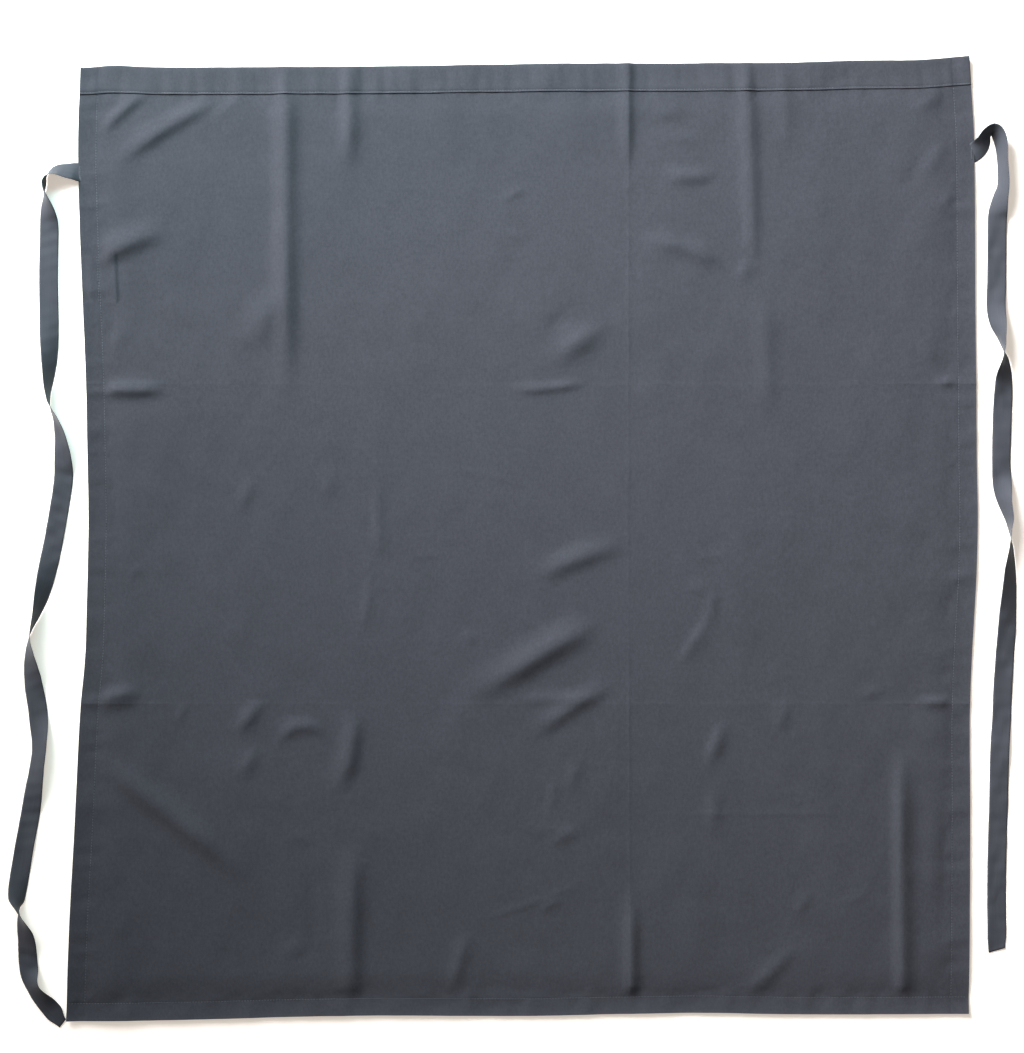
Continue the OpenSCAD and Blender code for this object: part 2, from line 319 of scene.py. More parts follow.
SOFT_FOLDS = (
    # fans of pull from the left tie and the waist hem
    Fold((-438, 390), (-310, 470), 3.6, 9.5, bow=4, lean=0.2, fade=0.4),
    Fold((-450, 424), (-394, 474), 2.8, 7, bow=2, lean=0.1, fade=0.4),
    Fold((-334, 438), (-290, 472), 1.0, 7, fade=0.5),
    Fold((-462, 288), (-372, 328), 4.6, 12, bow=3, lean=0.2, fade=0.45),
    Fold((-440, 190), (-416, 232), 0.7, 8, fade=0.5),
    # folds that hang from the waist hem
    Fold((-250, 140), (-250, 540), 5.0, 11, bow=1, lean=0.05, fade=0.3),
    Fold((-284, 192), (-262, 276), 3.4, 15, lean=0.1, fade=0.5),
    Fold((-184, 384), (-185, 520), 3.9, 9, lean=-0.1, fade=0.35),
    Fold((240, 276), (231, 530), 2.9, 9.5, bow=-2, lean=0.1, fade=0.25),
    Fold((255, 110), (248, 280), 1.7, 11, bow=-3, fade=0.4),
    Fold((226, 268), (240, 300), 1.6, 10, fade=0.5),
    Fold((276, 410), (272, 500), 1.0, 8, fade=0.4),
    # curls under the waist hem on the right
    Fold((128, 446), (176, 448), 1.2, 8, bow=3, fade=0.5),
    Fold((140, 432), (190, 420), 1.0, 7, bow=-4, fade=0.5),
    Fold((140, 388), (210, 386), 2.6, 8, bow=-5, fade=0.45),
    Fold((120, 320), (222, 282), 3.2, 9.5, bow=5, lean=0.1, fade=0.4),
    # faint double line pressed in by something laid on the cloth
    Fold((10, 368), (128, 300), 0.35, 3.0, bow=5, fade=0.3),
    Fold((12, 360), (124, 294), 0.3, 3.0, bow=5, fade=0.35),
    Fold((-26, 355), (10, 370), 1.1, 5.5, bow=3, fade=0.5),
    Fold((-32, 324), (10, 316), 0.7, 6, fade=0.5),
    # dimple and short fold at the upper crease
    Fold((22, 184), (92, 232), 3.9, 12, fade=0.5),
    Fold((20, 216), (52, 244), -1.2, 8, fade=0.5),
    Fold((-24, 159), (74, 168), 1.9, 6, bow=-4, lean=0.1, fade=0.4),
    # slight marks across the middle
    Fold((-110, 80), (24, 52), 0.35, 4, bow=2, fade=0.4),
    Fold((-300, 24), (-286, 72), 1.2, 8, fade=0.5),
    Fold((-208, 34), (-204, 84), 1.0, 8, fade=0.5),
    Fold((-153, -24), (-156, 70), 1.2, 6.5, lean=-0.2, fade=0.35),
    Fold((-186, -70), (-190, -10), 0.9, 7, fade=0.5),
    Fold((-170, -100), (-162, -28), 1.0, 6.5, lean=-0.2, fade=0.5),
    Fold((-126, -18), (-82, -16), 0.6, 5, fade=0.4),
    Fold((-416, -40), (-398, -24), 0.8, 6, fade=0.5),
    # the three slanting folds of the middle
    Fold((2, -44), (114, -4), 3.8, 11.5, bow=5, lean=0.1, fade=0.45),
    Fold((-62, -170), (92, -78), 5.9, 14, bow=2, lean=0.1, fade=0.42),
    Fold((0, -212), (98, -148), 3.3, 10, bow=3, lean=0.1, fade=0.45),
    Fold((-20, -168), (92, -166), 1.6, 7, fade=0.45),
    Fold((-66, -92), (-50, -112), 1.0, 6, fade=0.5),
    # the hooked fold on the right of the middle
    Fold((146, -148), (204, -66), 1.7, 8.5, bow=-3, lean=-0.1, fade=0.45),
    Fold((196, -92), (192, -40), 1.4, 7, bow=-3, fade=0.5),
    Fold((164, -50), (200, -50), 1.3, 9, fade=0.5),
    Fold((176, -20), (222, -14), 0.6, 6, fade=0.5),
    # cluster on the left of the lower crease
    Fold((-306, -208), (-274, -164), 2.4, 8, fade=0.5),
    Fold((-300, -256), (-280, -212), 1.8, 8.5, fade=0.5),
    Fold((-264, -212), (-204, -204), 2.4, 8, bow=12, fade=0.4),
    Fold((-196, -272), (-180, -172), 4.1, 10, bow=-5, lean=0.1, fade=0.42),
    Fold((-368, -198), (-352, -166), 0.8, 5, fade=0.5),
    Fold((-262, -314), (-206, -314), 0.5, 8, fade=0.5),
    # long slanting fold at the lower left, and the long fold below the cluster
    Fold((-462, -218), (-284, -360), 4.7, 12, lean=0.05, fade=0.4),
    Fold((-183, -520), (-181, -310), 4.7, 12.5, lean=0.15, fade=0.35),
    Fold((-222, -450), (-224, -336), -1.0, 7, fade=0.4),
    Fold((-262, -438), (-222, -422), 1.0, 8, fade=0.5),
    Fold((-440, -414), (-410, -404), 1.0, 10, fade=0.5),
    Fold((-80, -486), (-58, -404), 2.0, 8, fade=0.45),
    Fold((-72, -408), (72, -356), 0.5, 4, bow=-3, fade=0.4),
    # small marks down the lower middle
    Fold((25, -300), (28, -238), 1.0, 6, bow=-3, fade=0.5),
    Fold((44, -270), (62, -222), 0.9, 7, fade=0.5),
    Fold((20, -324), (66, -302), 1.2, 7, bow=2, fade=0.5),
    Fold((-10, -304), (60, -306), 0.5, 6, fade=0.5),
    Fold((12, -392), (44, -374), 1.2, 6, fade=0.5),
    # right of the lower third
    Fold((192, -246), (210, -184), 2.6, 8.5, lean=-0.1, fade=0.5),
    Fold((200, -322), (198, -246), 1.7, 9, lean=-0.1, fade=0.45),
    Fold((130, -290), (340, -288), 0.35, 3.5, fade=0.3),
    Fold((268, -208), (274, -164), 1.3, 8, fade=0.5),
    Fold((344, -164), (384, -158), 1.2, 7, fade=0.5),
    Fold((397, -520), (395, -212), 4.3, 8.5, lean=-0.2, fade=0.22),
    Fold((432, -420), (430, -240), 0.9, 9, fade=0.4),
    Fold((282, -398), (300, -362), 0.9, 6, bow=-3, fade=0.5),
    Fold((230, -482), (290, -424), 2.0, 8.5, fade=0.45),
    Fold((330, -386), (370, -366), 0.5, 6, fade=0.5),
    # ripples beside the right edge, above its tie
    Fold((404, 452), (444, 470), 1.0, 7, fade=0.5),
    Fold((418, 380), (446, 424), 1.2, 8, fade=0.5),
    Fold((396, 360), (420, 410), -0.9, 9, fade=0.5),
    Fold((430, 344), (462, 372), 0.9, 7, fade=0.5),
    Fold((414, 214), (436, 178), 0.8, 7, fade=0.5),
)


@dataclass
class Cloth:
    """The lie of the apron's cloth: its outline, its thickness and the relief of its front.

    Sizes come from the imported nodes, in the pattern's millimetres.
    """

    half_w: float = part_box("middle_panel")[1][0] / MM
    waist_v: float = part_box("upper_panel")[1][1] / MM
    bottom_v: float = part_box("lower_panel")[0][1] / MM
    upper_crease: float = frame["joints"][0]["pos_m"][1] / MM
    lower_crease: float = frame["joints"][1]["pos_m"][1] / MM
    front_z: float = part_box("middle_panel")[1][2] / MM
    thickness: float = 0.5
    side_hem_w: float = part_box("right_hem_middle")[1][0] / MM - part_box("right_hem_middle")[0][0] / MM
    waist_hem_w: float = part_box("waist_hem")[1][1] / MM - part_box("waist_hem")[0][1] / MM
    bottom_hem_w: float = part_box("bottom_hem")[1][1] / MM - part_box("bottom_hem")[0][1] / MM
    row_inset: float = 1.5
    sag: float = 0.75
    left_edge: Knots = (
        (-505, -482), (-400, -478.5), (-290, -472.5), (-215, -469), (-172, -466.5), (-130, -462.5),
        (-60, -460), (20, -458.5), (90, -459.5), (164, -461), (250, -464.5), (340, -468), (410, -469.5),
        (505, -466.5),
    )
    right_edge: Knots = (
        (-505, 467), (-400, 468), (-290, 468.5), (-172, 468.5), (-120, 470.5), (-60, 474), (10, 476.5),
        (90, 475.5), (164, 475), (250, 474), (350, 473.5), (425, 472.5), (470, 469.5), (505, 467),
    )
    top_edge: Knots = (
        (-480, 496), (-455, 496.5), (-440, 498), (-400, 497), (-240, 497), (-110, 498), (0, 500),
        (200, 501), (300, 502), (340, 503.5), (420, 504.5), (450, 507), (480, 509),
    )
    bottom_edge: Knots = (
        (-490, -506), (-430, -505.5), (-370, -504.5), (-290, -502.5), (-240, -501), (-180, -500),
        (20, -500), (110, -498), (200, -497), (250, -498), (480, -498),
    )
    folds: tuple[Fold, ...] = PRESSED_LINES + SOFT_FOLDS

    @property
    def side_row(self) -> float:
        """Where the side hems are stitched, as a distance from the middle."""
        return self.half_w - self.side_hem_w + self.row_inset

    @property
    def bottom_row(self) -> float:
        """Where the bottom hem is stitched."""
        return self.bottom_v + self.bottom_hem_w - self.row_inset

    @property
    def waist_row(self) -> float:
        """Where the waist hem is stitched."""
        return self.waist_v - self.waist_hem_w + self.row_inset

    def plan(self, u: np.ndarray, v: np.ndarray) -> tuple[np.ndarray, np.ndarray]:
        """Where pattern points lie in plan: the edges' offsets, shared out across the cloth.

        Args:
            u: Pattern places across, in millimetres.
            v: Pattern places up, in millimetres.

        Returns:
            The places across and up, in millimetres.
        """
        share = (u / self.half_w + 1.0) / 2.0
        left = hermite(self.left_edge, v) + self.half_w
        right = hermite(self.right_edge, v) - self.half_w
        x = u + (1.0 - share) * left + share * right
        up = np.clip((v - self.upper_crease) / (self.waist_v - self.upper_crease), 0.0, 1.2)
        down = np.clip((self.lower_crease - v) / (self.lower_crease - self.bottom_v), 0.0, 1.2)
        y = v + (hermite(self.top_edge, x) - self.waist_v) * up * up
        y = y + (hermite(self.bottom_edge, x) - self.bottom_v) * down * down
        return x, y

    def hem_share(self, u: np.ndarray, v: np.ndarray) -> np.ndarray:
        """How far the cloth lies on a back hem, with a ramp inside the hem's turned edge.

        Args:
            u: Pattern places across, in millimetres.
            v: Pattern places up, in millimetres.

        Returns:
            1 over a back hem and 0 inside it.
        """
        side = smoothstep((np.abs(u) - self.half_w + self.side_hem_w + 12.0) / 14.0)
        bottom = smoothstep((self.bottom_v + self.bottom_hem_w + 12.0 - v) / 14.0)
        return np.maximum(side, bottom)

    def edge_relief(self, u: np.ndarray, v: np.ndarray) -> np.ndarray:
        """How the hems pull the cloth into shape: a valley along each row of stitches.

        Outside a row the hem lifts towards the edge, except where a tie is sewn down. Inside it
        the cloth swells over 30 mm and then sinks slowly to the floor.

        Args:
            u: Pattern places across, in millimetres.
            v: Pattern places up, in millimetres.

        Returns:
            The height that the hems add, in millimetres.
        """
        out = np.zeros(np.broadcast(u, v).shape)
        tied = np.zeros_like(out)
        for side, word in ((u < 0, "left"), (u > 0, "right")):
            low, high = (corner[1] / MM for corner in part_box(f"{word}_tie_root"))
            tied = np.maximum(tied, side * np.exp(-(((v - (low + high) / 2.0) / 22.0) ** 2)))
        rows = (
            (self.half_w - np.abs(u), self.side_hem_w - self.row_inset, 1.5 * (1.0 - tied), 1.2),
            (v - self.bottom_v, self.bottom_hem_w - self.row_inset, 2.4, 1.7),
            (self.waist_v - v, self.waist_hem_w - self.row_inset, 1.8, 1.0),
        )
        sink = np.ones_like(out)
        for away, row, curl, swell in rows:
            inside = np.maximum(away - row, 0.0)
            out = out + curl * (np.maximum(row - away, 0.0) / row) ** 1.4
            out = out + swell * smoothstep(inside / 30.0) * np.exp(-inside / 110.0)
            sink = sink * smoothstep(inside / 90.0)
        return out - self.sag * sink

    def crease_relief(self, u: np.ndarray, v: np.ndarray) -> np.ndarray:
        """The two pressed creases across: fine ridges, stronger towards the side edges.

        Args:
            u: Pattern places across, in millimetres.
            v: Pattern places up, in millimetres.

        Returns:
            The height that the creases add, in millimetres.
        """
        strength = 0.13 + 0.2 * smoothstep((np.abs(u) - 330.0) / 110.0)
        strength = strength * (0.75 + 0.25 * waves(u, 0.0 * u, 11, 6, (60.0, 220.0)))
        upper = np.exp(-np.abs(v - self.upper_crease - 0.2) / 2.2)
        lower = np.exp(-np.abs(v - self.lower_crease - 0.2) / 2.4)
        return strength * (upper + 1.15 * lower)

    def puckers(self, u: np.ndarray, v: np.ndarray) -> np.ndarray:
        """Small gathers beside the rows of stitches, and the groove that each row pulls in.

        Args:
            u: Pattern places across, in millimetres.
            v: Pattern places up, in millimetres.

        Returns:
            The height that the gathers add, in millimetres.
        """
        out = np.zeros(np.broadcast(u, v).shape)
        rows = (
            (np.abs(u) - self.side_row, v + 900 * (u > 0), 21, 0.24),
            (self.bottom_row - v, u, 23, 0.34),
            (v - self.waist_row, u, 25, 0.24),
        )
        for off, place, seed, size in rows:
            gathers = waves(place, 0.35 * off, seed, 16, (15.0, 46.0))
            broad = waves(place, 0.7 * off, seed + 1, 12, (34.0, 110.0))
            reach = np.where(off > 0, 22.0, 9.0)
            out = out + size * gathers * np.exp(-((off / reach) ** 2))
            out = out + 0.32 * broad * np.exp(-((off / 34.0) ** 2)) - 0.16 * np.exp(-((off / 1.1) ** 2))
        return out

    def label_relief(self, u: np.ndarray, v: np.ndarray) -> np.ndarray:
        """The raised outline that the care label presses through the cloth: a soft-edged plateau.

        Its slopes lie outside the label, and the one on the hem is long and faint.

        Args:
            u: Pattern places across, in millimetres.
            v: Pattern places up, in millimetres.

        Returns:
            The height that the label adds, in millimetres.
        """
        low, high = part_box("care_label")
        rise, edge, inner, outer = 1.5, 3.0, 4.0, 10.0
        across = smoothstep((high[0] / MM - u) / inner + 1.0) * smoothstep((u - low[0] / MM) / outer + 1.0)
        up = smoothstep((v - low[1] / MM) / edge + 1.0) * smoothstep((high[1] / MM - v) / edge + 1.0)
        return rise * across * up

    def relief(self, u: np.ndarray, v: np.ndarray) -> np.ndarray:
        """The whole relief of the cloth's front, with a soft limit that keeps it above the floor.

        Args:
            u: Pattern places across, in millimetres.
            v: Pattern places up, in millimetres.

        Returns:
            The front's height above the floor, in millimetres.
        """
        x, y = self.plan(u, v)
        hem = self.hem_share(u, v)
        height = self.front_z + self.edge_relief(u, v)
        calm = 1.0 - 0.7 * hem
        soft = sum(fold.height(x, y) for fold in self.folds)
        broad = 0.55 * waves(x, y, 3, 16, (110.0, 420.0)) + 0.16 * waves(x, y, 5, 24, (34.0, 95.0))
        fine = 0.03 * waves(x, y, 7, 24, (9.0, 22.0))
        height = height + calm * (soft + broad) + fine
        height = height + self.crease_relief(u, v) + self.puckers(u, v) + self.label_relief(u, v)
        floor = self.thickness + 0.12 + 0.78 * hem
        return floor + np.logaddexp(0.0, (height - floor) * 4.0) / 4.0

    def points(self, u: np.ndarray, v: np.ndarray) -> np.ndarray:
        """Points of the cloth's front, in metres."""
        x, y = self.plan(u, v)
        return np.stack([x, y, self.relief(u, v)], -1) * MM

    def surface(
        self, u: np.ndarray, v: np.ndarray, lift: np.ndarray | float = 0.0
    ) -> tuple[np.ndarray, np.ndarray]:
        """Points at a height above the cloth's front, with the front's normals.

        The normal is the cross product of the surface's two slopes, by central differences.

        Args:
            u: Pattern places across, in millimetres.
            v: Pattern places up, in millimetres.
            lift: Height above the front along its normal, in millimetres.

        Returns:
            Points in metres and unit normals, each with the grid's shape plus 3.
        """
        u, v, lift = np.broadcast_arrays(u, v, lift)
        step = 0.35
        along = self.points(u + step, v) - self.points(u - step, v)
        up = self.points(u, v + step) - self.points(u, v - step)
        normal = np.cross(along, up)
        normal = normal / np.linalg.norm(normal, axis=-1, keepdims=True)
        return self.points(u, v) + normal * lift[..., None] * MM, normal

    def wear(self, u: np.ndarray, v: np.ndarray) -> np.ndarray:
        """Where the cloth is painted lighter: along the creases and the edges, for rubbed dye and for painted
        highlight on the crease crests and rolled edges.

        Args:
            u: Pattern places across, in millimetres.
            v: Pattern places up, in millimetres.

        Returns:
            How much of the lighter tint lies there, 0 to 1.
        """
        crease = np.exp(-np.abs(v - self.upper_crease) / 1.6) + np.exp(-np.abs(v - self.lower_crease) / 1.6)
        edge = np.exp(-(self.half_w - np.abs(u)) / 1.5) + np.exp(-(v - self.bottom_v) / 1.5)
        return np.clip(0.25 * crease + 0.8 * edge, 0.0, 1.0)


def sheet_shell(name: str, cloth: Cloth, u: np.ndarray, v: np.ndarray) -> bpy.types.Object:
    """One closed sheet of the cloth over a pattern grid.

    The front is the cloth's surface, the back lies one thickness under it along its normals, and
    a rim of points halfway between, pushed out by a third of the thickness, rounds the edge.

    Args:
        name: Name of the piece.
        cloth: The lie of the cloth.
        u: Columns of the grid, rising, in millimetres.
        v: Rows of the grid, rising, in millimetres.

    Returns:
        The sheet.
    """
    grid_u, grid_v = np.meshgrid(u, v)
    front, normal = cloth.surface(grid_u, grid_v)
    rows, columns = grid_u.shape
    count = rows * columns
    back = front - normal * cloth.thickness * MM
    index = np.arange(count).reshape(rows, columns)
    ring = np.concatenate([index[0, :-1], index[:-1, -1], index[-1, :0:-1], index[:0:-1, 0]])
    middle = ((front + back) / 2.0).reshape(-1, 3)[ring]
    following = np.roll(middle, -1, axis=0) - np.roll(middle, 1, axis=0)
    outward = np.cross(following, normal.reshape(-1, 3)[ring])
    outward = outward / np.linalg.norm(outward, axis=1, keepdims=True)
    rim = middle + outward * cloth.thickness * MM / 3.0
    points = np.concatenate([front.reshape(-1, 3), back.reshape(-1, 3), rim])
    normals = np.concatenate([normal.reshape(-1, 3), -normal.reshape(-1, 3), outward])
    a, b = ring, np.roll(ring, -1)
    c = 2 * count + np.arange(len(ring))
    d = np.roll(c, -1)
    quads = np.concatenate([
        grid_quads(rows, columns),
        grid_quads(rows, columns, count)[:, ::-1],
        np.stack([b, a, c, d], 1),
        np.stack([d, c, a + count, b + count], 1),
    ])
    wear = cloth.wear(grid_u, grid_v).ravel()
    # the rim takes most of the lighter tint: painted highlight on the rolled edge, with rubbed dye
    wear = np.concatenate([wear, wear, np.full(len(ring), 0.8)])
    return new_mesh(name, points, quads, normals=normals, wear=wear)


def swept_strip(
    name: str, cloth: Cloth, ring: Knots, stations: np.ndarray, run: Run, sway: float, seed: int
) -> bpy.types.Object:
    """A closed strip of cloth: a cross-section carried along one direction of the pattern.

    Args:
        name: Name of the piece.
        cloth: The lie of the cloth.
        ring: The cross-section, as (place across the strip, lift above the cloth) in millimetres,
            anticlockwise when the place across runs right and the lift runs up. Its long sides are
            divided, so that they follow the cloth.
        stations: Places along the strip, rising.
        run: Whether the strip runs across or up the apron.
        sway: How far the strip wanders sideways, in millimetres.
        seed: Seed of that wander.

    Returns:
        The strip.
    """
    corners = np.array(ring + ring[:1])
    gone = np.concatenate([[0.0], np.cumsum(np.hypot(*np.diff(corners, axis=0).T))])
    longest, nearest = 2.5, 1.0
    extra = np.arange(0.0, gone[-1], longest)
    extra = extra[np.abs(extra[:, None] - gone).min(axis=1) > nearest]
    at = np.sort(np.concatenate([gone[:-1], extra]))
    across, lift = np.interp(at, gone, corners[:, 0]), np.interp(at, gone, corners[:, 1])
    s, a = np.meshgrid(stations, across, indexing="ij")
    a = a + sway * waves(s, 0.0 * s, seed, 10, (14.0, 90.0))
    lift = lift * (1.0 + 0.08 * waves(s, 0.0 * s, seed + 1, 10, (8.0, 60.0)))
    u, v = (s, a) if run is Run.ACROSS else (a, s)
    points, _ = cloth.surface(u, v, lift)
    count, size = s.shape
    quads, caps = tube_faces(count, size, flip=run is Run.UP)
    return new_mesh(name, points.reshape(-1, 3), quads, caps=caps, wear=np.full(count * size, 0.25))


def stitch_rows(
    name: str, cloth: Cloth, places: np.ndarray | float, span: tuple[float, float], run: Run,
    lift: float = 0.0, seed: int = 0,
) -> bpy.types.Object:
    """Rows of separate stitches, each a slim closed bead whose ends dive into the cloth.

    A bead is a grid of rings: its radius follows a half ellipse along it, and its height a sine.

    Args:
        name: Name of the piece.
        cloth: The lie of the cloth.
        places: Where each row lies, across its run, in millimetres.
        span: Where the rows start and end along their run.
        run: Whether the rows run across or up the apron.
        lift: Height of the cloth that is sewn through, above the cloth's front.
        seed: Seed of the stitches' small unevenness.

    Returns:
        The rows, as one piece.
    """
    pitch, length, radius, sides, rings = 3.0, 2.35, 0.27, 6, 5
    places = np.atleast_1d(places)
    starts = np.arange(span[0] + 0.4, span[1] - length, pitch)
    starts, rows = np.tile(starts, len(places)), np.repeat(places, len(starts))
    draw = np.random.default_rng(900 + seed)
    t = np.linspace(0.0, 1.0, rings)
    turn = np.arange(sides) * 2.0 * math.pi / sides
    wide = radius * np.sqrt(np.clip(1.0 - (2.0 * t - 1.0) ** 2, 0.02, 1.0))
    bead_along = np.broadcast_to((t * length)[:, None], (rings, sides))
    bead_side = wide[:, None] * np.cos(turn)
    bead_up = 0.8 * wide[:, None] * np.sin(turn) + (0.3 * np.sin(math.pi * t) - 0.12)[:, None]
    count = len(starts)
    yaw = draw.normal(0.0, 0.05, (count, 1, 1))
    drift = draw.normal(0.0, 0.06, (count, 1, 1))
    s = starts[:, None, None] + bead_along
    a = rows[:, None, None] + drift + bead_side + yaw * (bead_along - length / 2.0)
    up = np.broadcast_to(bead_up + lift, s.shape)
    u, v = (s, a) if run is Run.ACROSS else (a, s)
    points, _ = cloth.surface(u, v, up)
    size = sides * rings
    one, ends = tube_faces(rings, sides, flip=run is Run.UP)
    first = np.arange(count)[:, None] * size
    quads = (one[None] + first[:, None]).reshape(-1, 4)
    caps = (*(first + ends[0]), *(first + ends[1]))
    return new_mesh(name, points.reshape(-1, 3), quads, caps=caps)


# ---------------------------------------------------------------- finishes


class Graph:
    """A material's node tree, built one node at a time."""

    def __init__(self, name: str) -> None:
        """Start a material with a Principled shader and an output."""
        self.material = bpy.data.materials.new(name)
        self.material.use_nodes = True
        self.tree = self.material.node_tree
        self.shader = self.tree.nodes["Principled BSDF"]
        self.column = 0

    def add(
        self, kind: str, inputs: dict[str | int, object] | None = None, **settings: object
    ) -> bpy.types.Node:
        """Add a node.

        Args:
            kind: Blender's type name of the node.
            inputs: Values or output sockets for its inputs, by name or number.
            settings: Properties of the node.

        Returns:
            The node.
        """
        node = self.tree.nodes.new(kind)
        self.column -= 1
        node.location = (180 * self.column, 0)
        for key, value in settings.items():
            setattr(node, key, value)
        for key, value in (inputs or {}).items():
            self.feed(node.inputs[key], value)
        return node

    def feed(self, socket: bpy.types.NodeSocket, value: object) -> None:
        """Link an output to a socket, or set the socket's own value."""
        if isinstance(value, bpy.types.NodeSocket):
            self.tree.links.new(value, socket)
        else:
            socket.default_value = value

    def math(self, operation: str, a: object, b: object = 0.0) -> bpy.types.NodeSocket:
        """Output of a math node on two values."""
        return self.add("ShaderNodeMath", {0: a, 1: b}, operation=operation).outputs[0]

    def weighted(self, *parts: tuple[object, float]) -> bpy.types.NodeSocket:
        """Add values up, each times its weight.

        Args:
            parts: (value, weight) pairs.

        Returns:
            The sum's output.
        """
        total, *rest = (self.math("MULTIPLY", value, weight) for value, weight in parts)
        for part in rest:
            total = self.math("ADD", total, part)
        return total

    def noise(
        self, vector: object, scale: float, detail: float = 2.0, rough: float = 0.5
    ) -> bpy.types.NodeSocket:
        """Output of a noise texture, about 0.5 on average."""
        inputs = {"Vector": vector, "Scale": scale, "Detail": detail, "Roughness": rough}
        return self.add("ShaderNodeTexNoise", inputs).outputs["Fac"]

    def bands(self, vector: object, period: float, axis: str = "X", **inputs: float) -> bpy.types.NodeSocket:
        """Straight waves across an axis, a period apart: underscores in input names stand for spaces."""
        made = {"Vector": vector, "Scale": WAVE_PERIOD / period}
        made.update({key.replace("_", " "): value for key, value in inputs.items()})
        return self.add("ShaderNodeTexWave", made, wave_type="BANDS", bands_direction=axis).outputs["Fac"]

    def ramp(self, value: object, **ends: float) -> bpy.types.NodeSocket:
        """A value mapped between ends: underscores in their names stand for spaces."""
        inputs = {"Value": value, **{key.replace("_", " "): end for key, end in ends.items()}}
        return self.add("ShaderNodeMapRange", inputs).outputs[0]

    def stretched(
        self, vector: object, scale: tuple[float, float, float], turn: float = 0.0
    ) -> bpy.types.NodeSocket:
        """Coordinates scaled on each axis and turned about Z by turn radians."""
        inputs = {"Vector": vector, "Scale": scale, "Rotation": (0.0, 0.0, turn)}
        return self.add("ShaderNodeMapping", inputs).outputs[0]

    def blend(self, factor: object, low: object, high: object) -> bpy.types.NodeSocket:
        """Mix two colours.

        Args:
            factor: 0 for the first colour, 1 for the second.
            low: First colour: a socket, or a value with its alpha.
            high: Second colour, as the first.

        Returns:
            The mixed colour's output.
        """
        mix = self.add("ShaderNodeMix", {0: factor}, data_type="RGBA")
        self.feed(mix.inputs["A"], low)
        self.feed(mix.inputs["B"], high)
        return mix.outputs["Result"]

    def tint(self, factor: object, low: Colour, high: Colour) -> bpy.types.NodeSocket:
        """Colour between low and high as factor goes from 0 to 1."""
        return self.blend(factor, (*low, 1.0), (*high, 1.0))

    def bump(
        self, height: object, strength: float, distance: float, under: object = None
    ) -> bpy.types.NodeSocket:
        """Bend the normals by a height.

        Args:
            height: The height, 0 to 1.
            strength: Share of the bend that shows.
            distance: What a height of 1 stands for, in metres.
            under: Output of an earlier bump to lie on top of.

        Returns:
            The bent normals' output.
        """
        inputs = {"Height": height, "Strength": strength, "Distance": distance}
        if under is not None:
            inputs["Normal"] = under
        return self.add("ShaderNodeBump", inputs).outputs[0]

    def shade(self, **sockets: object) -> None:
        """Set or link the shader's sockets: underscores in names stand for spaces."""
        for key, value in sockets.items():
            self.feed(self.shader.inputs[key.replace("_", " ")], value)


@dataclass(frozen=True)
class Twill:
    """Polycotton twill: steep ribs, slubbed yarns, a faint two-tone fleck, and a lighter tint on the edges
    and creases for rubbed dye and painted highlight.
    """

    name: str
    dark: Colour = (0.0300, 0.0302, 0.0368)
    light: Colour = (0.0510, 0.0510, 0.0620)
    # lighter tint for rubbed dye and painted highlight along the edges and creases
    rubbed_and_highlit: Colour = (0.0800, 0.0790, 0.0900)
    rib: float = 0.75 * MM
    slope: float = 1.1

    def make(self) -> bpy.types.Material:
        """Build the material from the object's own coordinates."""
        g = Graph(self.name)
        place = g.add("ShaderNodeTexCoord").outputs["Object"]
        turned = g.stretched(place, (1.0, 1.0, 1.0), self.slope)
        ribs = g.bands(turned, self.rib, Distortion=0.6, Detail=1.0, Detail_Scale=3.0)
        warp = g.noise(g.stretched(place, (2600.0, 130.0, 400.0)), 1.0, 2.0)
        weft = g.noise(g.stretched(place, (110.0, 2300.0, 400.0)), 1.0, 2.0)
        fleck = g.noise(place, 950.0, 2.0, 0.7)
        mottle = g.noise(place, 26.0, 4.0, 0.6)
        yarn = g.weighted((warp, 0.5), (weft, 0.5))
        slub = g.noise(g.stretched(place, (420.0, 260.0, 300.0)), 1.0, 3.0, 0.75)
        tone = g.weighted((yarn, 0.5), (fleck, 0.5), (slub, 0.9), (mottle, 0.25), (ribs, 0.12))
        tone = g.ramp(tone, From_Min=0.82, From_Max=1.44)
        colour = g.tint(tone, self.dark, self.light)
        # lighter along the edges and creases: rubbed dye, and painted highlight on the rolled edges and
        # crease crests
        wear = g.add("ShaderNodeAttribute", attribute_name="wear").outputs["Fac"]
        rubbed_and_highlit = g.math("MULTIPLY", wear, g.math("MULTIPLY", g.noise(place, 420.0, 3.0), 0.55))
        colour = g.blend(rubbed_and_highlit, colour, (*self.rubbed_and_highlit, 1.0))
        weave = g.bump(ribs, 0.30, 0.00012)
        weave = g.bump(yarn, 0.35, 0.00025, weave)
        weave = g.bump(g.noise(place, 190.0, 3.0, 0.6), 0.22, 0.0004, weave)
        rough = g.ramp(fleck, To_Min=0.80, To_Max=0.95)
        g.shade(Base_Color=colour, Normal=weave, Roughness=rough)
        g.shade(Specular_IOR_Level=0.18, Sheen_Weight=0.12, Sheen_Roughness=0.45)
        return g.material


